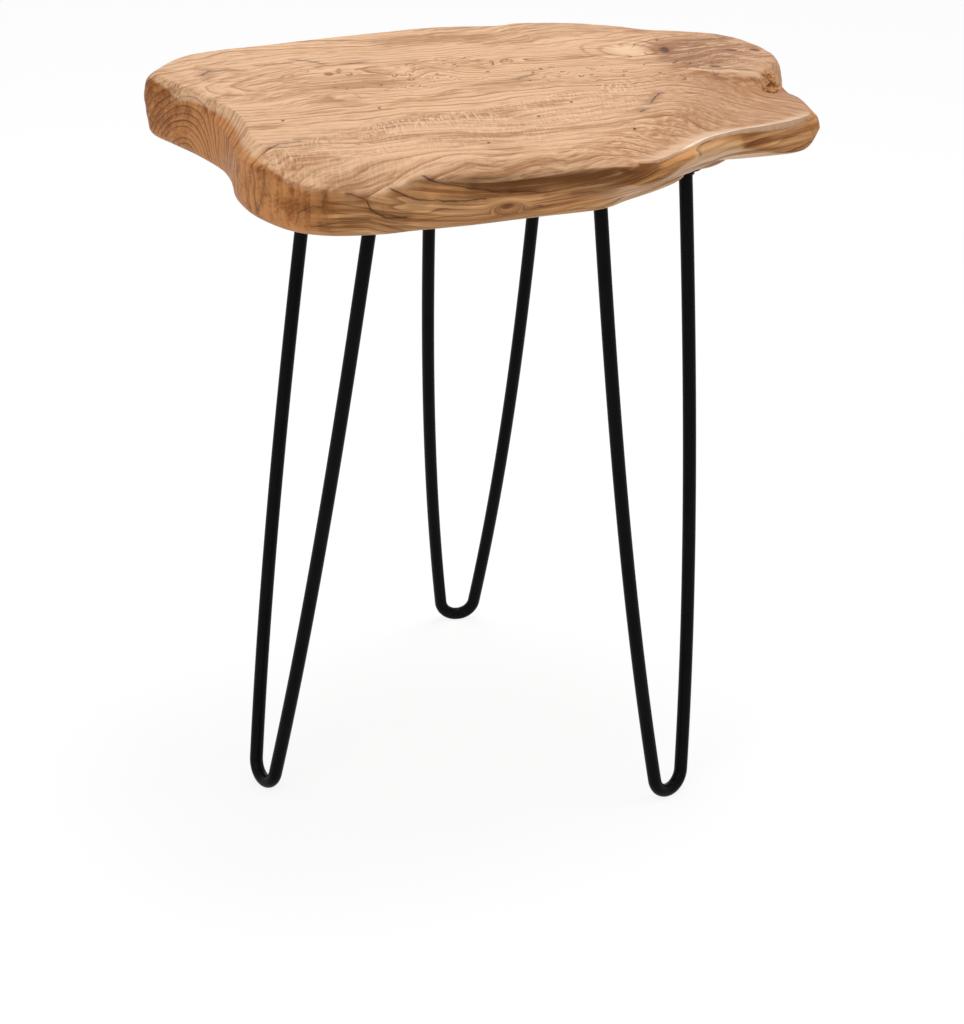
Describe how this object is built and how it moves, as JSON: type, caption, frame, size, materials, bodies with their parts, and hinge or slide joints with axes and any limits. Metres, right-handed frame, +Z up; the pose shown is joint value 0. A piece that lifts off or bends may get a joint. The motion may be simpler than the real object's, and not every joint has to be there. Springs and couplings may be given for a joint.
{
  "type": "live edge end table",
  "caption": "Low side table with a solid live edge wood slab on splayed hairpin legs of bent black steel rod, each welded to a plate that is screwed under the slab.",
  "frame": {"origin": "on the floor, under the middle of the table's box", "axes": "+Z up, +X along the slab's length to the right of the front, +Y along its depth to the back"},
  "size_m": [0.4826, 0.4064, 0.5207],
  "materials": {
    "wood": "satin clear finish over pale tan live edge wood",
    "black_paint": "semi-gloss black paint",
    "zinc": "bright zinc plate"
  },
  "bodies": {
    "root": {"wood_top": "wood", "front_left_hairpin": "black_paint", "front_right_hairpin": "black_paint", "rear_hairpin": "black_paint", "front_left_plate": "black_paint", "front_right_plate": "black_paint", "rear_plate": "black_paint", "front_left_weld_1": "black_paint", "front_left_weld_2": "black_paint", "front_right_weld_1": "black_paint", "front_right_weld_2": "black_paint", "rear_weld_1": "black_paint", "rear_weld_2": "black_paint", "front_left_screw_1": "zinc", "front_left_screw_2": "zinc", "front_left_screw_3": "zinc", "front_left_screw_4": "zinc", "front_right_screw_1": "zinc", "front_right_screw_2": "zinc", "front_right_screw_3": "zinc", "front_right_screw_4": "zinc", "rear_screw_1": "zinc", "rear_screw_2": "zinc", "rear_screw_3": "zinc", "rear_screw_4": "zinc"}
  },
  "joints": []
}
